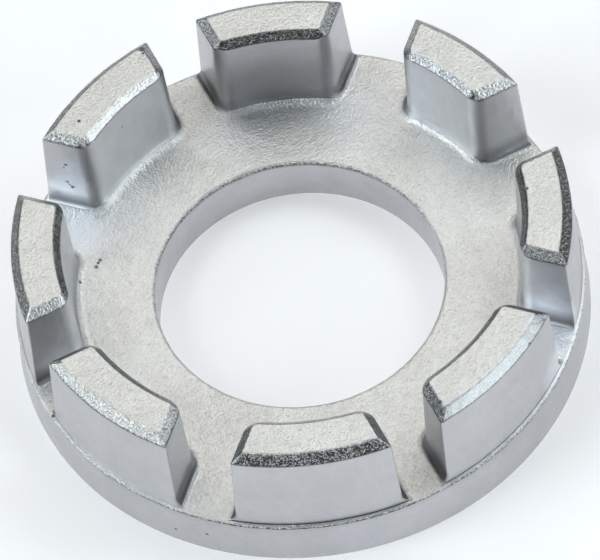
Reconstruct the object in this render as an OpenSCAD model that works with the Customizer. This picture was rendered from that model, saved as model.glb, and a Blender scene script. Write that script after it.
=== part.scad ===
// Ring spoke wrench, one solid piece.
// A flat ring carries eight lugs on its rim. The straight slots between the lugs
// each turn one size of spoke nipple.
// Millimetres. The ring lies on z = 0, its bore runs along z and slot 1 is on +x.

/* [Ring] */
// Diameter of the ring across the foot of its rim
rim_d = 38; // [37.5:0.5:42]
// How far the side of the rim leans in from its foot to its top
rim_lean = 0.3; // [0.1:0.05:0.5]
// Thickness of the flat web
web_t = 3.55; // [2.5:0.05:5]
// Diameter of the round bore
bore_d = 19.1; // [16:0.1:22]
// Size of the break on the upper edge of the bore
bore_break = 0.2; // [0.1:0.05:0.4]
// Size of the small break on the two edges of the underside
foot_break = 0.1; // [0.05:0.05:0.2]
// Radius of the bead that the parting line leaves round the rim
bead_r = 0.12; // [0.05:0.01:0.2]
// Depth of the middle of that bead below the top of the web
bead_drop = 0.2; // [0.15:0.05:0.5]

/* [Lugs] */
// Height of the tool from its underside to the top of the lugs
tool_h = 10.6; // [9:0.1:14]
// Thickness of a lug at its foot, measured across the rim
lug_t = 3.75; // [3:0.05:4.5]
// Width of the ledge of the web that shows outside the lugs
ledge_w = 0.12; // [0.05:0.01:0.3]
// How far the outer wall of a lug leans in from its foot to its chamfer
outer_lean = 0.3; // [0.1:0.05:0.6]
// Draft angle of the inner walls and of the slot walls, in degrees
wall_draft = 1.5; // [0.5:0.25:3]
// Radius of the two upright inner corners of a lug
corner_r = 1.05; // [0.9:0.05:1.2]
// How far the round of a corner stands proud of the two walls that trim it
corner_proud = 0.02; // [0.01:0.01:0.04]
// Radius of the fillet round the foot of the inner walls and of the slot walls
root_r = 0.7; // [0.4:0.05:0.8]

// Share of that radius that the cone at the foot of a rounded corner reaches out and up
corner_foot_share = 0.65; // [0.5:0.05:0.75]
// Share of that radius by which the fillets stop short where they run out on the web
root_sink_share = 0.015; // [0.01:0.005:0.04]

/* [Chamfers] */
// Height of the chamfer round the top of a lug, on its outer side and at the slots
chamfer_h = 0.6; // [0.5:0.05:0.8]
// Width of that chamfer on the outer side
outer_chamfer_w = 0.6; // [0.3:0.05:0.9]
// Width of that chamfer at the slots
end_chamfer_w = 0.6; // [0.3:0.05:0.9]
// Height of the smaller chamfer on the inner side
inner_chamfer_h = 0.45; // [0.4:0.05:0.55]
// Width of the smaller chamfer on the inner side
inner_chamfer_w = 0.45; // [0.3:0.05:0.5]
// How much lower the chamfer starts at the slots than on the outer side
end_chamfer_drop = 0.04; // [0.02:0.01:0.08]

/* [Slots] */
// Width of slot 1, half way up its walls, as all the slot widths are
slot_1_w = 5.45; // [4.5:0.05:6]
// Width of slot 2
slot_2_w = 5.05; // [4.5:0.05:6]
// Width of slot 3
slot_3_w = 3.45; // [3:0.05:4.5]
// Width of slot 4
slot_4_w = 4.3; // [3:0.05:5]
// Width of slot 5
slot_5_w = 3.25; // [3:0.05:4.5]
// Width of slot 6
slot_6_w = 4.2; // [3:0.05:5]
// Width of slot 7
slot_7_w = 3.35; // [3:0.05:4.5]
// Width of slot 8
slot_8_w = 3.55; // [3:0.05:4.5]

/* [View] */
// Which piece to draw

/* [Hidden] */
$fn = 96;
// Steps round the small circles of the fillets and the bead
root_steps = 24;
// How far a cut runs past the face that it opens
overrun = 0.5;
// Slots in the order in which they stand, turning from +x towards +y
slot_widths = [slot_1_w, slot_2_w, slot_3_w, slot_4_w, slot_5_w, slot_6_w, slot_7_w, slot_8_w];
slot_pitch = 360 / len(slot_widths);
rim_r = rim_d / 2;
rim_top_r = rim_r - rim_lean;
bore_r = bore_d / 2;
// Lug radii at the foot and the heights above the web
lug_outer_r = rim_top_r - ledge_w;
lug_inner_r = lug_outer_r - lug_t;
lug_h = tool_h - web_t;
wall_h = lug_h - chamfer_h;
inner_wall_h = lug_h - inner_chamfer_h;
wall_rise = tan(wall_draft);
inner_lean = inner_wall_h * wall_rise;
// Distance from a wall's foot to the toe of its fillet, and the point where the fillet meets the wall
toe = root_r / cos(wall_draft) - root_r * wall_rise;
fillet_top = root_r - root_r * sin(wall_draft);
fillet_top_in = fillet_top * wall_rise;
// The fillets run out on the web this far below their full round
root_sink = root_r * root_sink_share;
// Size of the cone at the foot of a rounded corner, which stands in for the fillet there
corner_foot = root_r * corner_foot_share;
// Where the slot cuts start, over the open web
cut_start = (bore_r + lug_inner_r) / 2;
// Reach of the corner cuts from the middle of a corner
corner_reach = corner_r + root_r + overrun;

// Half the width of a slot at the level of the web
function slot_foot(w) = w / 2 - lug_h / 2 * wall_rise;

// Middle of the upright corner beside a slot, at x along the slot and y across it
function corner_y(w) = slot_foot(w) + corner_r - corner_proud;
function corner_x(w) = sqrt(pow(lug_inner_r + corner_r - corner_proud, 2) - pow(corner_y(w), 2));

module web_body() {
    rotate_extrude() {
        polygon([
            [bore_r, foot_break],
            [bore_r + foot_break, 0],
            [rim_r - foot_break, 0],
            [rim_r, foot_break],
            [rim_top_r, web_t],
            [bore_r + bore_break, web_t],
            [bore_r, web_t - bore_break]
        ]);
        translate([rim_top_r, web_t - bead_drop])
            circle(bead_r, $fn = root_steps);
    }
}

// Cross-section of the wall that the lugs are cut from, standing on the web
module wall_section() {
    difference() {
        polygon([
            [lug_inner_r - toe, 0],
            [lug_outer_r, 0],
            [lug_outer_r - outer_lean, wall_h],
            [lug_outer_r - outer_lean - outer_chamfer_w, lug_h],
            [lug_inner_r + inner_lean + inner_chamfer_w, lug_h],
            [lug_inner_r + inner_lean, inner_wall_h],
            [lug_inner_r + fillet_top_in, fillet_top]
        ]);
        translate([lug_inner_r - toe, root_r - root_sink])
            circle(root_r, $fn = root_steps);
    }
}

// Cross-section of a slot, with filleted floor edges, leaning walls and chamfers at the top
module slot_section(w) {
    foot = slot_foot(w);
    head_h = wall_h - end_chamfer_drop;
    head = foot + head_h * wall_rise;
    mouth = head + end_chamfer_w * (lug_h + overrun - head_h) / (lug_h - head_h);
    polygon([
        [-foot + toe, -overrun],
        [foot - toe, -overrun],
        [foot - toe, 0],
        [foot + fillet_top_in, fillet_top],
        [head, head_h],
        [mouth, lug_h + overrun],
        [-mouth, lug_h + overrun],
        [-head, head_h],
        [-foot - fillet_top_in, fillet_top],
        [-foot + toe, 0]
    ]);
    for (side = [-1, 1])
        translate([side * (foot - toe), root_r - root_sink])
            circle(root_r, $fn = root_steps);
}

// Opens a slot outwards over the web and past the rim
module slot_cut(w) {
    translate([cut_start, 0, 0])
        rotate([90, 0, 90])
            linear_extrude(height = rim_r + overrun - cut_start)
                slot_section(w);
}

// The ground that a corner tool covers, from the middle of the round to beyond the sharp corner
module corner_ground(w) {
    inward = [-corner_x(w), -corner_y(w)] / norm([corner_x(w), corner_y(w)]) * corner_reach;
    across = [0, -corner_reach];
    polygon([[0, 0], inward, inward + across, across]);
}

// Rounds the upright inner corner of the lug on the left of a slot, down to a small cone at its foot
module corner_cut(w) {
    translate([corner_x(w), corner_y(w), 0])
        difference() {
            translate([0, 0, -overrun])
                linear_extrude(height = lug_h + overrun * 2)
                    corner_ground(w);
            translate([0, 0, -overrun * 2])
                cylinder(r = corner_r, h = lug_h + overrun * 4);
            translate([0, 0, -overrun * 2])
                cylinder(r = corner_r + corner_foot, h = overrun * 2);
            cylinder(r1 = corner_r + corner_foot, r2 = corner_r - corner_proud, h = corner_foot + corner_proud);
        }
}

// Carries the inner chamfer round that corner
module corner_chamfer(w) {
    lean = inner_chamfer_w / inner_chamfer_h;
    spare = overrun / 4;
    translate([corner_x(w), corner_y(w), inner_wall_h])
        difference() {
            linear_extrude(height = inner_chamfer_h + spare)
                corner_ground(w);
            translate([0, 0, -spare])
                cylinder(
                    r1 = corner_r + lean * spare,
                    r2 = corner_r - lean * (inner_chamfer_h + spare * 2),
                    h = inner_chamfer_h + spare * 3
                );
        }
}

// The lug between slot i and the next one
module lug(i) {
    before = slot_widths[i];
    after = slot_widths[(i + 1) % len(slot_widths)];
    rotate([0, 0, i * slot_pitch])
        difference() {
            rotate_extrude(angle = slot_pitch)
                wall_section();
            slot_cut(before);
            rotate([0, 0, slot_pitch])
                slot_cut(after);
            corner_cut(before);
            rotate([0, 0, slot_pitch])
                mirror([0, 1, 0])
                    corner_cut(after);
            corner_chamfer(before);
            rotate([0, 0, slot_pitch])
                mirror([0, 1, 0])
                    corner_chamfer(after);
        }
}

module lugs() {
    translate([0, 0, web_t])
        for (i = [0 : len(slot_widths) - 1])
            lug(i);
}

module wrench_ring() {
    color("silver")
        union() {
            web_body();
            lugs();
        }
}

wrench_ring();
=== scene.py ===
import bmesh
import bpy
import math
from mathutils import Matrix, Vector, noise


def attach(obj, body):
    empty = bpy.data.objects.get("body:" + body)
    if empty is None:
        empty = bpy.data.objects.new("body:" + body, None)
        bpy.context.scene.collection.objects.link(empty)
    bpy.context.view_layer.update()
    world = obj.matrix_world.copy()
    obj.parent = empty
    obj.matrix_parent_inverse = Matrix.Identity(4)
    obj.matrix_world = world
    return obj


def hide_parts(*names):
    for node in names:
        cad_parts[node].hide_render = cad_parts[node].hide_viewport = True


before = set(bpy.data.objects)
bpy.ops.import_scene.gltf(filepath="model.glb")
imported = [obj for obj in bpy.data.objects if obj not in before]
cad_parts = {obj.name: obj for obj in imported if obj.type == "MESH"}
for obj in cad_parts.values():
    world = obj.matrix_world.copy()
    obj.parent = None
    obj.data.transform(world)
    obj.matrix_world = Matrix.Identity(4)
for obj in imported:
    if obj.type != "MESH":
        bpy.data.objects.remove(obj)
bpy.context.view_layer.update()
print("frame loaded")

mm = 0.001
scene = bpy.context.scene

# The flat ring, in millimetres, measured from the axis of the bore and from the underside
ring = {
    "rimFoot": 19.0,
    "rimTop": 18.7,
    "webTop": 3.55,
    "bore": 9.55,
    "boreBreak": 0.2,
    "footBreak": 0.1,
    "flash": 0.12,         # radius of the parting line's bead
    "flashDrop": 0.2,      # its middle below the top of the web
    "flashLift": 0.05,     # how much higher its upper half stands than a round one
    "flashUneven": 0.02,
    "flashCrumbly": 250,   # degrees, the side where it is roughest
    "burrUneven": 0.03,
    "burrSide": 80,        # degrees, the side where the edge of the bore is roughest
    # points between the features: heights on the rim and in the bore, radii under the tool
    "rimLevels": (2.4, 1.6, 0.8, 0.3),
    "boreLevels": (2.2, 1.1),
    "underRadii": (16.5, 14, 11.8),
    "ledgeSteps": 720,
    "boreSteps": 480,
}

# The eight lugs, in millimetres, measured up from the web; slot widths are taken half way up
lugs = {
    "height": 7.05,
    "outer": 18.58,
    "inner": 14.83,
    "outerLean": 0.3,
    "draft": 1.5,          # degrees
    "corner": 1.05,        # radius of the upright inner corners
    "outerCorner": 0.1,
    "root": 0.7,           # fillet round the foot
    # height and width of the chamfers
    "chamfer": {"outer": (0.6, 0.6), "end": (0.6, 0.6), "inner": (0.45, 0.45)},
    "softEdge": 0.07,      # half the rounding between a wall and its chamfer
    "topEdge": (0.08, 0.07),    # height and width of the rounding between the chamfers and the top
    "topInset": 0.13,      # where the flat top starts, in from the foot of that rounding
    "cornerCut": 0.75,     # how much smaller the inner corners are at the top of their chamfer
    "leastCorner": 0.12,
    "uneven": 0.02,        # how ragged the edges of the chamfers are
    "unevenSizes": (0.22, 0.6),
    "edgeLine": 0.06,      # reach of the painted shade lines along the chamfers' edges and at the outer foot
    # how coarse the cast skin of the chamfers is, on all lugs and then on the ones that differ
    "skin": {"outer": 0.35, "end": 0.38, "inner": 0.15},
    "otherSkin": {
        1: {"outer": 0.5, "end": 0.5, "inner": 1.0},
        2: {"inner": 0.05},
        3: {"outer": 0.6, "inner": 0.4},
        4: {"outer": 0.68},
        5: {"outer": 0.9},
        6: {"outer": 0.05, "end": 0.75},
        7: {"outer": 0.85, "end": 0.5},
    },
    # how much dark residue, partly painted shade, lies on a chamfer, and how much painted shade along the
    # outer foot, where there is any
    "residueAndShade": {
        0: {"outer": 0.55},
        1: {"outer": 1.1, "inner": 1.4},
        2: {"outer": 1.2},
        3: {"outer": 0.5, "inner": 0.5},
        4: {"inner": 0.1},
        5: {"foot": 1.0},
        6: {"outer": 0.12, "inner": 0.4, "foot": 0.6},
        7: {"outer": 1.5, "inner": 0.25},
    },
    # how near a chamfer comes to the top's pale grain; before and after are the ends at those slots
    "pale": {
        0: {"before": 0.75, "inner": 0.35},
        2: {"after": 0.6, "inner": 0.72},
        3: {"after": 0.98},
        4: {"outer": 0.87, "after": 0.62},
        7: {"before": 0.4, "after": 0.4},
    },
    "creaseShade": 0.6,     # painted shade in the fillets at the foot of the slot walls
    "creaseReach": 1.6,    # how high it reaches, as a share of the fillet's radius
    "slots": [5.45, 5.05, 3.45, 4.3, 3.25, 4.2, 3.35, 3.55],
    "wallLevels": (1.4, 2.6, 3.9, 5.2, 5.9, 6.2),
    "steps": {"outer": 96, "outerCorner": 4, "wall": 30, "corner": 9, "inner": 64, "fillet": 9},
}


def spread(a, b, steps):
    return [a + (b - a) * i / steps for i in range(steps + 1)]


def turned(x, y, angle):
    cos, sin = math.cos(angle), math.sin(angle)
    return Vector((x * cos - y * sin, x * sin + y * cos, 0))


def polarPoint(radius, turn, z):
    return Vector((radius * math.cos(turn), radius * math.sin(turn), z))


def lugLevels():
    # one entry a level: height, how far the fillet stands out, how far the top edge is drawn in,
    # and the grain
    rise = math.tan(math.radians(lugs["draft"]))
    r, top, soft = lugs["root"], lugs["height"], lugs["softEdge"]
    starts = sorted({top - high for high, wide in lugs["chamfer"].values()})
    toe = r / math.cos(math.radians(lugs["draft"])) - r * rise
    levels = [{"z": 0, "out": toe + 0.05, "ledge": 0.02, "grained": 1.0}]
    for turn in spread(0, math.radians(90 - lugs["draft"]), lugs["steps"]["fillet"]):
        z = r * (1 - math.cos(turn))
        grained = min(1, max(0, 1.4 - 2.6 * z / r))
        levels.append({"z": z, "out": toe - r * math.sin(turn) + z * rise, "grained": grained})
    levels += [{"z": z} for z in lugs["wallLevels"]]
    edges = [z for start in starts for z in spread(start - soft, start + soft, 4)]
    levels += [{"z": z} for z in edges + spread(starts[-1] + soft, top - 0.1, 3)[1:]]
    down, across = lugs["topEdge"]
    for s in spread(0, 1, 4)[1:]:
        levels.append({"z": top - down * (1 - s) ** 2, "in": across * s * s, "grained": s})
    levels.append({"z": top, "in": lugs["topInset"], "grained": 1.0})
    return levels


def upChamfer(z, side):
    # 0 on the wall, 1 at the top of its chamfer; the edge between them is rounded over
    high = lugs["chamfer"][side][0]
    near = [z - (lugs["height"] - high) + lugs["softEdge"] * t for t in (-1, -0.5, 0, 0.5, 1)]
    return sum(max(0.0, t) for t in near) / len(near) / high


def wallsAt(z):
    # outer radius, inner radius and half a slot's change of width
    rise = math.tan(math.radians(lugs["draft"]))
    up = {side: upChamfer(z, side) for side in lugs["chamfer"]}
    low = {side: z - up[side] * high for side, (high, wide) in lugs["chamfer"].items()}
    out = {side: up[side] * wide for side, (high, wide) in lugs["chamfer"].items()}
    wallTop = lugs["height"] - lugs["chamfer"]["outer"][0]
    return [
        lugs["outer"] - lugs["outerLean"] * low["outer"] / wallTop - out["outer"],
        lugs["inner"] + low["inner"] * rise + out["inner"],
        (low["end"] - lugs["height"] / 2) * rise + out["end"],
    ]


def lugOutline(at, slotBefore, slotAfter, start, pitch):
    # the points round one lug at one level, outer side first
    out, drawn = at.get("out", 0.0), at.get("in", 0.0)
    outer, inner, gap = wallsAt(at["z"])
    outer += at.get("ledge", 0.0) - drawn
    inner += drawn - out
    gap += drawn - out
    corner = lugs["corner"] + out - lugs["cornerCut"] * upChamfer(at["z"], "inner") - drawn
    corner = max(corner, lugs["leastCorner"])
    small = lugs["outerCorner"]
    counts = lugs["steps"]

    def side(width, sign, base):
        # from the end of the outer wall, round the outer corner, along the slot and round the inner one
        half = width / 2 + gap
        along = math.sqrt((outer - small) ** 2 - (half + small) ** 2)
        outerTurn = math.atan2(half + small, along)
        inward = math.sqrt((inner + corner) ** 2 - (half + corner) ** 2)
        innerTurn = math.atan2(half + corner, inward)
        chain = [(along + small * math.cos(a), half + small + small * math.sin(a))
                 for a in spread(outerTurn, -math.pi / 2, counts["outerCorner"])]
        for share in spread(0, 1, counts["wall"])[1:-1]:
            chain.append((along + (inward - along) * share, half))
        chain += [(inward + corner * math.cos(a), half + corner + corner * math.sin(a))
                  for a in spread(-math.pi / 2, innerTurn - math.pi, counts["corner"])]
        chain = [turned(x, sign * y, base) for x, y in chain]
        return chain, base + sign * outerTurn, base + sign * innerTurn

    first, firstOuter, firstInner = side(slotBefore, 1, start)
    last, lastOuter, lastInner = side(slotAfter, -1, start + pitch)
    points = [turned(outer, 0, a) for a in spread(firstOuter, lastOuter, counts["outer"])[1:-1]]
    points += last
    points += [turned(inner, 0, a) for a in spread(lastInner, firstInner, counts["inner"])[1:-1]]
    points += reversed(first)
    return [Vector((p.x, p.y, at["z"])) for p in points]


def lugSides():
    # which wall each of those points is on
    counts = lugs["steps"]
    end = counts["outerCorner"] + counts["wall"] + counts["corner"] // 2
    corner = ["inner"] * (counts["corner"] + 1 - counts["corner"] // 2)
    sides = ["outer"] * (counts["outer"] - 1) + ["after"] * end + corner
    return sides + ["inner"] * (counts["inner"] - 1) + corner + ["before"] * end


def ragged(p, size, amount):
    # the same small uneven shift each time for the same place, from three spots of one fixed noise
    at, apart = p / size, Vector((17.3, 5.9, 11.1))
    return Vector([noise.noise(spot) for spot in (at, at + apart, at - apart)]) * amount


def loopEdges(bm, loop):
    return [bm.edges.get((a, b)) for a, b in zip(loop, loop[1:] + loop[:1])]


def raiseLoop(bm, loop):
    # extrudes a closed loop of vertices and gives back the new ones in the same order
    made = bmesh.ops.extrude_edge_only(bm, edges=loopEdges(bm, loop))["geom"]
    new = {v for v in made if isinstance(v, bmesh.types.BMVert)}
    return [next(e.other_vert(v) for e in v.link_edges if e.other_vert(v) in new) for v in loop]


def closedLoop(bm, points):
    loop = [bm.verts.new(p) for p in points]
    for a, b in zip(loop, loop[1:] + loop[:1]):
        bm.edges.new((a, b))
    return loop


def circleLoop(bm, radius, z, steps):
    made = bmesh.ops.create_circle(bm, cap_ends=False, segments=steps, radius=radius)["verts"]
    bmesh.ops.translate(bm, verts=made, vec=(0, 0, z))
    return sorted(made, key=lambda v: math.atan2(v.co.y, v.co.x))


def paint(bm, loop, grained=0.0, coarse=0.0):
    # red is the blasted grain, green the depth of the coarse cast skin, blue the bright polish of
    # chamfers and burrs, alpha the darkening: residue partly painted shade on chamfers, painted shade
    # along edges and in creases
    finish = bm.verts.layers.float_color["finish"]
    for v in loop:
        v[finish] = (grained, coarse, coarse, 0.0)


def addLug(bm, number):
    slots = lugs["slots"]
    pitch = 2 * math.pi / len(slots)
    before, after = slots[number], slots[(number + 1) % len(slots)]
    lift = Vector((0, 0, ring["webTop"]))
    skin = {**lugs["skin"], **lugs["otherSkin"].get(number, {})}
    pale, residueAndShade = lugs["pale"].get(number, {}), lugs["residueAndShade"].get(number, {})
    sides = [("end" if side in ("before", "after") else side, pale.get(side, 0.0)) for side in lugSides()]
    isEnd = [float(side == "end") for side, paleness in sides]
    # an average over eleven points, so that it fades round the inner corners
    endness = [sum((isEnd[i - 5:] + isEnd)[:11]) / 11 if i >= 5 else isEnd[i] for i in range(len(isEnd))]
    finish = bm.verts.layers.float_color["finish"]
    fine, broad = lugs["unevenSizes"]
    foot, loop = None, None
    for at in lugLevels():
        points = [p + lift for p in lugOutline(at, before, after, number * pitch, pitch)]
        if loop is None:
            loop = foot = closedLoop(bm, points)
        else:
            loop = raiseLoop(bm, loop)
            for v, p in zip(loop, points):
                v.co = p
        inset = at.get("in", 0.0) > 0.1
        for v, (side, paleness), atEnd in zip(loop, sides, endness):
            share = skin[side]
            up = upChamfer(at["z"] + 0.04, side) if at["z"] > 1 else 0.0   # starts just below the edge
            grained = at.get("grained", 0.0)
            if at["z"] < 1 and side == "outer":
                grained = 0.0      # no fillet on this side, the wall runs down to the ledge
            if at["z"] < 1 and side != "outer":
                grained += (min(1, max(0, 1.2 - 8 * at["z"] / lugs["root"])) - grained) * atEnd
            coarse = min(1.0, up * 8) * (1 - grained)
            grained = max(grained, 0.4 * share * up ** 2, min(1, up * 4) * paleness)
            uneven = 0.0 if inset else lugs["uneven"] * max(coarse, 0.5 if at.get("in") else 0.0)
            shift = (ragged(v.co, fine, uneven) + ragged(v.co, broad, uneven * 0.6)) * (0.4 + 0.6 * share)
            if at["z"] > lugs["height"] - 0.05:
                shift.z = min(shift.z, 0)      # the top stays the highest
            v.co += shift
            # painted shade: a dark line along the edge between a wall and its chamfer
            fromEdge = abs(at["z"] - (lugs["height"] - lugs["chamfer"][side][0]))
            line = max(0.0, 1 - fromEdge / lugs["edgeLine"]) * (1 - paleness)
            # dark residue on the chamfers, its amount partly painted shade
            line = max(line, coarse * residueAndShade.get(side, 0.0))
            # painted shade in the crease along the outer foot
            if side == "outer":
                line = max(line, (1 - at["z"] / lugs["edgeLine"]) * residueAndShade.get("foot", 0.0))
            # painted shade in the fillets at the foot of the slot walls
            into = at["z"] / lugs["root"]
            if side != "outer" and into < lugs["creaseReach"]:
                crease = min(into / 0.25, 1, (lugs["creaseReach"] - into) / 1.2)
                line = max(line, lugs["creaseShade"] * atEnd * crease)
            v[finish] = (grained, coarse * share, coarse, line)
    bm.faces.new(loop)
    return foot


def addRing(bm, feet):
    # the web's flat top first, filled between the rim, the bore and the feet of the lugs
    web = ring["webTop"]
    lean = (ring["rimFoot"] - ring["rimTop"]) / (web - ring["footBreak"])

    def rimAt(z):
        return ring["rimTop"] + (web - z) * lean

    # just outside the feet of the lugs, and just outside the broken edge of the bore
    rim = circleLoop(bm, lugs["outer"] + 0.04, web, ring["ledgeSteps"])
    mouth = circleLoop(bm, ring["bore"] + ring["boreBreak"] + 0.12, web, ring["boreSteps"])
    paint(bm, rim + mouth, grained=1.0)
    edges = [edge for border in [rim, mouth] + feet for edge in loopEdges(bm, border)]
    bmesh.ops.triangle_fill(bm, use_beauty=True, use_dissolve=False, edges=edges, normal=(0, 0, 1))

    finish = bm.verts.layers.float_color["finish"]
    bead, middle = ring["flash"], web - ring["flashDrop"]
    profile = [{"r": lugs["outer"] + 0.07, "z": web, "grained": 0.9}]
    for turn in spread(math.radians(85), math.radians(-60), 8):
        profile.append({
            "r": ring["rimTop"] + bead * math.cos(turn),
            "z": middle + bead * math.sin(turn) + ring["flashLift"] * max(0, math.sin(turn)),
            "uneven": ring["flashUneven"], "grained": 0.25 + 0.5 * max(0, math.sin(turn)),
            "flash": max(0, math.cos(turn)),
        })
    profile += [{"r": rimAt(z), "z": z} for z in (middle - 0.2,) + ring["rimLevels"]]
    edge = ring["footBreak"]
    for turn in spread(0, math.pi / 2, 4):
        profile.append({
            "r": ring["rimFoot"] - edge * (1 - math.cos(turn)), "z": edge * (1 - math.sin(turn)),
            "grained": math.sin(turn),
        })
    under = (ring["rimFoot"] - 0.3,) + ring["underRadii"] + (ring["bore"] + 0.3,)
    profile += [{"r": r, "z": 0, "grained": 1.0} for r in under]
    for turn in spread(math.pi / 2, 0, 3):
        profile.append({
            "r": ring["bore"] + edge * (1 - math.cos(turn)), "z": edge * (1 - math.sin(turn)),
            "grained": math.sin(turn),
        })
    loop = rim
    for at in profile:
        loop = raiseLoop(bm, loop)
        paint(bm, loop, at.get("grained", 0.0))
        for v in loop:
            turn = math.atan2(v.co.y, v.co.x)
            v.co = polarPoint(at["r"], turn, at["z"])
            if at.get("uneven"):
                shift = ragged(v.co, 0.35, at["uneven"]) + ragged(v.co, 1.3, at["uneven"] * 0.7)
                v.co += polarPoint(shift.x, turn, shift.z * 0.6)
            if at.get("flash"):
                # crumbly on one side of the tool, almost clean on the other
                crumbly = 0.1 + 0.9 * max(0, math.cos(turn - math.radians(ring["flashCrumbly"])))
                v[finish] = (at["grained"], crumbly * at["flash"], 0, 0)
    # up the bore from the web's side, then joined to the underside's loop
    cut = ring["boreBreak"]
    profile = [
        {"r": ring["bore"] + cut + 0.04, "z": web, "grained": 1.0},
        {"r": ring["bore"] + cut - 0.02, "z": web - 0.02, "uneven": 0.5, "grained": 0.75, "coarse": 0.5},
        {"r": ring["bore"] + cut * 0.5, "z": web - cut * 0.45, "uneven": 1, "grained": 0.5, "coarse": 0.6},
        {"r": ring["bore"] + 0.015, "z": web - cut * 0.9, "uneven": 0.6, "grained": 0.3, "coarse": 0.5},
        {"r": ring["bore"], "z": web - cut * 1.4},
    ]
    profile += [{"r": ring["bore"], "z": z} for z in ring["boreLevels"]]
    inside = mouth
    for at in profile:
        inside = raiseLoop(bm, inside)
        paint(bm, inside, at.get("grained", 0.0), at.get("coarse", 0.0))
        for v in inside:
            turn = math.atan2(v.co.y, v.co.x)
            v.co = polarPoint(at["r"], turn, at["z"])
            if at.get("uneven"):
                burr = ring["burrUneven"] * at["uneven"]
                shift = ragged(v.co, 0.4, burr) + ragged(v.co, 2, burr)
                v.co += polarPoint(shift.x, turn, min(shift.z, 0.0))
                # worn smooth and pale on the side away from the burr
                worn = 0.5 - 0.5 * math.cos(turn - math.radians(ring["burrSide"]))
                grained, coarse = at["grained"], at["coarse"] * (1 - 0.8 * worn)
                v[finish] = (grained + (0.95 - grained) * worn, coarse, coarse, 0)
    bmesh.ops.bridge_loops(bm, edges=loopEdges(bm, loop) + loopEdges(bm, inside))


def buildWrench():
    bm = bmesh.new()
    bm.verts.layers.float_color.new("finish")
    feet = [addLug(bm, number) for number in range(len(lugs["slots"]))]
    print("lugs raised")
    addRing(bm, feet)
    print("ring closed")
    bmesh.ops.recalc_face_normals(bm, faces=bm.faces)
    bmesh.ops.scale(bm, verts=bm.verts, vec=(mm, mm, mm))
    for face in bm.faces:
        face.smooth = True
    mesh = bpy.data.meshes.new("wrenchRing")
    bm.to_mesh(mesh)
    bm.free()
    piece = bpy.data.objects.new("wrenchRing", mesh)
    scene.collection.objects.link(piece)
    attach(piece, "root")
    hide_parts("wrench_ring")
    return piece


wrench = buildWrench()

camera = {
    "place": (-70.2, -209.9, 329.9),   # millimetres
    "azimuth": -18.5,                  # degrees, 0 looks along +Y
    "elevation": 55.8165,
    "roll": -9.1637,
    "lens": 360.0,
    "shift": (0.00128, -0.00195),
}


def addCamera():
    data = bpy.data.cameras.new("camera")
    data.lens = camera["lens"]
    data.sensor_width = 36
    data.shift_x, data.shift_y = camera["shift"]
    data.clip_start, data.clip_end = 0.01, 5
    thing = bpy.data.objects.new("camera", data)
    turn = (
        Matrix.Rotation(math.radians(camera["azimuth"]), 4, "Z")
        @ Matrix.Rotation(math.radians(90 - camera["elevation"]), 4, "X")
        @ Matrix.Rotation(math.radians(camera["roll"]), 4, "Z")
    )
    thing.matrix_world = Matrix.Translation(Vector(camera["place"]) * mm) @ turn
    scene.collection.objects.link(thing)
    scene.camera = thing


addCamera()

# The studio: a pale floor and a pale horizon, four soft lamps round the tool, and almost dark overhead
studio = {
    "floorSize": 1.5,                    # metres from the middle to an edge
    "floorGap": 0.02,                    # millimetres below the tool, so that their faces don't coincide
    "floorColour": (0.86, 0.86, 0.86, 1),
    "floorLift": 0.33,                   # glow that the camera and the metal see, as on a lit sweep
    "worldColour": (0.98, 0.98, 1, 1),
    "worldLow": 0.75,                    # its strength at the horizon, where the floor's sweep would rise
    "worldHigh": 0.02,                   # its strength overhead, almost dark
    "worldFade": (0.045, 0.075),         # between these heights, as a share of straight up
    "away": 0.45,                        # metres from the tool to each lamp
    # azimuth and elevation in degrees, width and height in metres
    "lamps": {
        "lampBack": {"at": (70, 60), "size": (0.52, 0.32), "watts": 0.69, "colour": (1, 0.995, 0.98)},
        "lampLeft": {"at": (175, 31), "size": (0.22, 0.56), "watts": 1.46, "colour": (0.85, 0.94, 1)},
        "lampRight": {"at": (313, 18), "size": (0.37, 0.34), "watts": 0.98, "colour": (0.85, 0.94, 1)},
        "lampHigh": {"at": (357, 52), "size": (0.22, 0.17), "watts": 0.43, "colour": (0.85, 0.94, 1)},
    },
}


def node(tree, kind, **values):
    made = tree.nodes.new(kind)
    for name, value in values.items():
        setattr(made, name, value)
    return made


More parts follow.
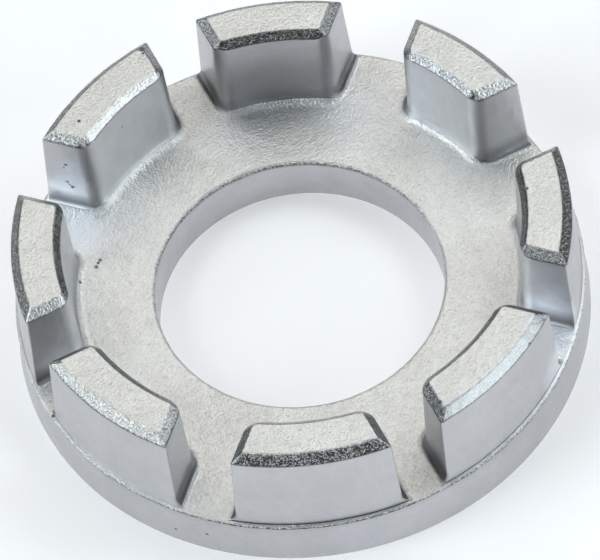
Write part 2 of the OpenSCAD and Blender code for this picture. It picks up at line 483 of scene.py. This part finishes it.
def addFloor():
    mesh = bpy.data.meshes.new("floor")
    bm = bmesh.new()
    bmesh.ops.create_grid(bm, x_segments=1, y_segments=1, size=studio["floorSize"])
    bmesh.ops.translate(bm, verts=bm.verts, vec=(0, 0, -studio["floorGap"] * mm))
    bm.to_mesh(mesh)
    bm.free()
    thing = bpy.data.objects.new("floor", mesh)
    scene.collection.objects.link(thing)
    material = bpy.data.materials.new("paleFloor")
    material.use_nodes = True
    tree = material.node_tree
    tree.nodes.clear()
    out = node(tree, "ShaderNodeOutputMaterial")
    coat = node(tree, "ShaderNodeBsdfDiffuse")
    coat.inputs["Color"].default_value = studio["floorColour"]
    glow = node(tree, "ShaderNodeEmission")
    both = node(tree, "ShaderNodeAddShader")
    path = node(tree, "ShaderNodeLightPath")
    seen = path.outputs["Is Camera Ray"]
    for ray in ("Is Glossy Ray", "Is Transmission Ray"):
        either = node(tree, "ShaderNodeMath", operation="MAXIMUM")
        tree.links.new(seen, either.inputs[0])
        tree.links.new(path.outputs[ray], either.inputs[1])
        seen = either.outputs[0]
    lift = node(tree, "ShaderNodeMath", operation="MULTIPLY")
    lift.inputs[1].default_value = studio["floorLift"]
    tree.links.new(seen, lift.inputs[0])
    tree.links.new(lift.outputs[0], glow.inputs["Strength"])
    tree.links.new(coat.outputs[0], both.inputs[0])
    tree.links.new(glow.outputs[0], both.inputs[1])
    # clear from below, so that the underside of the tool can be seen
    clear = node(tree, "ShaderNodeBsdfTransparent")
    side = node(tree, "ShaderNodeNewGeometry").outputs["Backfacing"]
    faced = node(tree, "ShaderNodeMixShader")
    tree.links.new(side, faced.inputs[0])
    tree.links.new(both.outputs[0], faced.inputs[1])
    tree.links.new(clear.outputs[0], faced.inputs[2])
    tree.links.new(faced.outputs[0], out.inputs["Surface"])
    mesh.materials.append(material)


def addLamps():
    for name, lamp in studio["lamps"].items():
        data = bpy.data.lights.new(name, "AREA")
        data.shape = "RECTANGLE"
        data.size, data.size_y = lamp["size"]
        data.energy = lamp["watts"]
        data.color = lamp["colour"]
        thing = bpy.data.objects.new(name, data)
        turn, rise = (math.radians(angle) for angle in lamp["at"])
        away = Vector((math.cos(rise) * math.cos(turn), math.cos(rise) * math.sin(turn), math.sin(rise)))
        thing.location = away * studio["away"]
        thing.rotation_mode = "QUATERNION"
        thing.rotation_quaternion = away.to_track_quat("Z", "Y")
        scene.collection.objects.link(thing)


def addWorld():
    world = bpy.data.worlds.new("studio")
    scene.world = world
    world.use_nodes = True
    tree = world.node_tree
    background = tree.nodes["Background"]
    background.inputs["Color"].default_value = studio["worldColour"]
    height = node(tree, "ShaderNodeSeparateXYZ")
    tree.links.new(node(tree, "ShaderNodeTexCoord").outputs["Generated"], height.inputs[0])
    fade = node(tree, "ShaderNodeMapRange", interpolation_type="SMOOTHSTEP")
    tree.links.new(height.outputs["Z"], fade.inputs["Value"])
    low, high = studio["worldFade"]
    fade.inputs["From Min"].default_value = low
    fade.inputs["From Max"].default_value = high
    fade.inputs["To Min"].default_value = studio["worldLow"]
    fade.inputs["To Max"].default_value = studio["worldHigh"]
    tree.links.new(fade.outputs["Result"], background.inputs["Strength"])


addFloor()
addLamps()
addWorld()
scene.view_settings.view_transform = "Standard"
print("studio lit")

plating = {
    "grainedColour": (0.9, 0.893, 0.865, 1),    # flat faces: blasted, pale and a little warm
    "smoothColour": (0.573, 0.57, 0.588, 1),    # walls: satin and a little blue
    "polishedColour": (0.43, 0.432, 0.43, 1),   # chamfers, the parting line and the edge of the bore
    "tint": (0.70, 0.71, 0.63, 1),              # darker yellow green among the grain
    "sootAndShade": (0.07, 0.07, 0.066, 1),             # dark specks and residue, and the painted shade along edges and in creases
    "paintedSheenColour": (0.93, 0.96, 1, 1),          # painted highlight: the bright bluish sheen of a few patches
    # how much of the tint, the pits, the slow waves, the mottling and the marks shows
    "tintShare": 0.7,
    "pitShare": 0.25,
    "waveShare": 0.12,
    "mottleShare": 0.07,
    "markShare": 0.85,
    "grainedRoughness": 0.5,
    "smoothRoughness": 0.38,
    "polishedRoughness": 0.27,
    "unevenRoughness": 0.03,
    "sheenRoughness": -0.12,    # added in the patches of painted sheen
    "skinRoughness": -0.04,     # added on the coarse skin
    "grainSize": 0.14,          # millimetres, as the sizes and depths below
    "grainDepth": 0.05,
    "skinSize": 0.13,
    "skinDepth": 0.15,
    "waveSize": 2.4,
    "wallGrain": 0.06,          # share of the grain's relief that the smooth walls have
    "mottleRelief": 0.6,        # relief of the mottling and of the waves, set against the grain's
    "waveRelief": 1.5,
    # the patches of painted highlight: where, in millimetres, how far they reach and how strong their
    # painted sheen is
    "paintedSheenSpots": [
        ((12.0, -12.1, 3.3), 4.2, 0.9), ((-12.0, 12.1, 3.3), 4.4, 0.85), ((-16.6, 1.6, 3.9), 2.6, 0.5),
        ((9.5, 9.2, 3.0), 4.6, 0.3), ((2.0, 13.0, 3.0), 4.0, 0.25),
    ],
    # small pits and scuffs: where, in millimetres, and how far they reach
    "marks": [
        ((-10.74, 8.17, 3.55), 0.16), ((-10.95, 8.02, 3.55), 0.12), ((-11.21, 7.8, 3.55), 0.16),
        ((-12.66, 7.16, 3.68), 0.14),
        ((-10.37, 13.37, 5.83), 0.13), ((-10.31, 13.28, 5.62), 0.1), ((-10.17, 13.15, 5.38), 0.16),
        ((-10.27, 13.34, 7.77), 0.13), ((-10.43, 13.45, 7.4), 0.09),
        ((-5.87, 13.76, 8.51), 0.09), ((-8.56, 14.15, 10.6), 0.15),
        ((-2.48, 17.42, 10.6), 0.26), ((-2.52, 17.05, 10.6), 0.13), ((-9.3, 12.62, 10.13), 0.22),
        ((2.27, -17.04, 10.54), 0.16), ((2.1, -17.55, 10.33), 0.14), ((9.41, -15.64, 10.01), 0.12),
        ((-18.6, -1.4, 3.54), 0.16), ((15.04, 3.2, 10.26), 0.16),
        ((14.63, -5.2, 10.6), 0.14), ((14.57, -4.95, 10.6), 0.1),
        ((-14.87, -11.68, 1.15), 0.13), ((-13.37, -13.31, 1.66), 0.13),
    ],
}


def plateMaterial():
    material = bpy.data.materials.new("platedSteel")
    material.use_nodes = True
    tree = material.node_tree
    links = tree.links
    shader = tree.nodes["Principled BSDF"]
    shader.inputs["Metallic"].default_value = 1.0
    place = node(tree, "ShaderNodeTexCoord").outputs["Object"]
    finish = node(tree, "ShaderNodeAttribute", attribute_name="finish")
    zones = node(tree, "ShaderNodeSeparateColor")
    links.new(finish.outputs["Color"], zones.inputs["Color"])

    def put(socket, value):
        if hasattr(value, "node"):
            links.new(value, socket)
        else:
            socket.default_value = value

    def noiseAt(size, detail, roughness):
        made = node(tree, "ShaderNodeTexNoise")
        made.inputs["Scale"].default_value = 1 / (size * mm)
        made.inputs["Detail"].default_value = detail
        made.inputs["Roughness"].default_value = roughness
        links.new(place, made.inputs["Vector"])
        return made.outputs["Fac"]

    def maths(kind, *values, clamp=False):
        made = node(tree, "ShaderNodeMath", operation=kind, use_clamp=clamp)
        for socket, value in zip(made.inputs, values):
            put(socket, value)
        return made.outputs[0]

    def ramp(value, low, high, fromLow=0.0, fromHigh=1.0):
        made = node(tree, "ShaderNodeMapRange", interpolation_type="SMOOTHSTEP")
        for socket, number in zip(made.inputs, (value, fromLow, fromHigh, low, high)):
            put(socket, number)
        return made.outputs[0]

    def mixed(factor, a, b, kind="MIX"):
        made = node(tree, "ShaderNodeMix", data_type="RGBA", blend_type=kind)
        for socket, value in zip((made.inputs[0], made.inputs[6], made.inputs[7]), (factor, a, b)):
            put(socket, value)
        return made.outputs[2]

    def awayFrom(spot, uneven):
        made = node(tree, "ShaderNodeVectorMath", operation="DISTANCE")
        links.new(place, made.inputs[0])
        made.inputs[1].default_value = [c * mm for c in spot]
        return maths("ADD", made.outputs["Value"], uneven)

    fine = noiseAt(plating["grainSize"], 1, 0.5)
    middling = noiseAt(plating["grainSize"] * 3, 2, 0.5)
    skin = noiseAt(plating["skinSize"], 2, 0.6)
    waves = noiseAt(plating["waveSize"], 2, 0.5)
    # the borders of the finishes crumble a little instead of fading
    crumbs = maths("MULTIPLY_ADD", skin, 0.7, -0.35)
    grained = ramp(maths("ADD", zones.outputs[0], crumbs), 0, 1, 0.3, 0.7)
    coarse, polished = zones.outputs[1], zones.outputs[2]

    # colour: one tone for each finish, specks in the grain, then slow waves and mottling over everything
    colour = mixed(grained, plating["smoothColour"], plating["grainedColour"])
    bare = maths("MULTIPLY", polished, maths("SUBTRACT", 1.0, grained))
    colour = mixed(bare, colour, plating["polishedColour"])
    tinted = maths("MULTIPLY", ramp(fine, 0.0, plating["tintShare"], 0.45, 0.8), grained)
    colour = mixed(tinted, colour, plating["tint"])
    # dark in the low places of the coarse skin and in a few pits of the grain
    deep = maths("MULTIPLY_ADD", coarse, -0.1, skin)
    dark = maths("MULTIPLY", ramp(deep, 1.0, 0.0, 0.37, 0.5), maths("MULTIPLY", coarse, 1.1, clamp=True))
    dark = maths("MULTIPLY", dark, maths("MULTIPLY_ADD", grained, -0.5, 1.0))
    pits = maths("MULTIPLY", ramp(skin, plating["pitShare"], 0.0, 0.28, 0.38), grained)
    colour = mixed(maths("MAXIMUM", dark, pits), colour, plating["sootAndShade"])
    shade = (0.5, 0.5, 0.5, 1)
    colour = mixed(ramp(waves, 0.0, plating["waveShare"], 0.3, 0.7), colour, shade, "MULTIPLY")
    colour = mixed(ramp(middling, 0.0, plating["mottleShare"], 0.35, 0.7), colour, shade, "MULTIPLY")
    # painted highlight: a bright bluish sheen in a few patches, above the web only
    height = node(tree, "ShaderNodeSeparateXYZ")
    links.new(place, height.inputs[0])
    onTop = ramp(height.outputs[2], 0.0, 1.0, (ring["webTop"] - 0.1) * mm, ring["webTop"] * mm)
    paintedSheen = 0.0
    for spot, reach, share in plating["paintedSheenSpots"]:
        away = awayFrom(spot, maths("MULTIPLY", waves, reach * mm * 0.5))
        paintedSheen = maths("MAXIMUM", paintedSheen, ramp(away, share, 0.0, reach * 0.6 * mm, reach * 1.3 * mm))
    paintedSheen = maths("MULTIPLY", paintedSheen, maths("MULTIPLY", onTop, maths("SUBTRACT", 1.0, dark)))
    colour = mixed(paintedSheen, colour, plating["paintedSheenColour"])
    # the painted shade and residue are smooth in the creases and broken into specks on the chamfers
    gaps = maths("MULTIPLY", polished, ramp(skin, 0.0, -1.0, 0.46, 0.64))
    broken = maths("MULTIPLY", finish.outputs["Alpha"], maths("ADD", gaps, 1.0))
    marked = 0.0
    for spot, reach in plating["marks"]:
        away = awayFrom(spot, maths("MULTIPLY", fine, reach * mm))
        mark = ramp(away, plating["markShare"], 0.0, reach * 0.8 * mm, reach * 1.6 * mm)
        marked = maths("MAXIMUM", marked, mark)
    # painted shade, residue and marks, all in the same near-black
    colour = mixed(maths("MAXIMUM", broken, marked), colour, plating["sootAndShade"])
    links.new(colour, shader.inputs["Base Color"])

    roughness = ramp(grained, plating["smoothRoughness"], plating["grainedRoughness"])
    polish = maths("MULTIPLY", polished, plating["polishedRoughness"] - plating["smoothRoughness"])
    uneven = ramp(middling, -plating["unevenRoughness"], plating["unevenRoughness"])
    roughness = maths("ADD", maths("ADD", roughness, polish), uneven)
    # a little less rough where the sheen is painted
    sheenOnGrain = maths("MULTIPLY", paintedSheen, grained)
    roughness = maths("MULTIPLY_ADD", sheenOnGrain, plating["sheenRoughness"], roughness)
    roughness = maths("MULTIPLY_ADD", coarse, plating["skinRoughness"], roughness)
    links.new(roughness, shader.inputs["Roughness"])

    # relief: fine grain on the flat faces, a coarser and deeper one on the chamfers and burrs
    relief = node(tree, "ShaderNodeBump")
    relief.inputs["Distance"].default_value = plating["grainDepth"] * mm
    depth = maths("MULTIPLY_ADD", grained, 1 - plating["wallGrain"], plating["wallGrain"])
    grain = maths("MULTIPLY", maths("MULTIPLY_ADD", middling, plating["mottleRelief"], fine), depth)
    grain = maths("SUBTRACT", grain, marked)
    links.new(maths("MULTIPLY_ADD", waves, plating["waveRelief"], grain), relief.inputs["Height"])
    crust = node(tree, "ShaderNodeBump")
    crust.inputs["Distance"].default_value = plating["skinDepth"] * mm
    links.new(maths("MULTIPLY", skin, coarse), crust.inputs["Height"])
    links.new(relief.outputs[0], crust.inputs["Normal"])
    links.new(crust.outputs[0], shader.inputs["Normal"])
    return material


wrench.data.materials.append(plateMaterial())
print("material made")
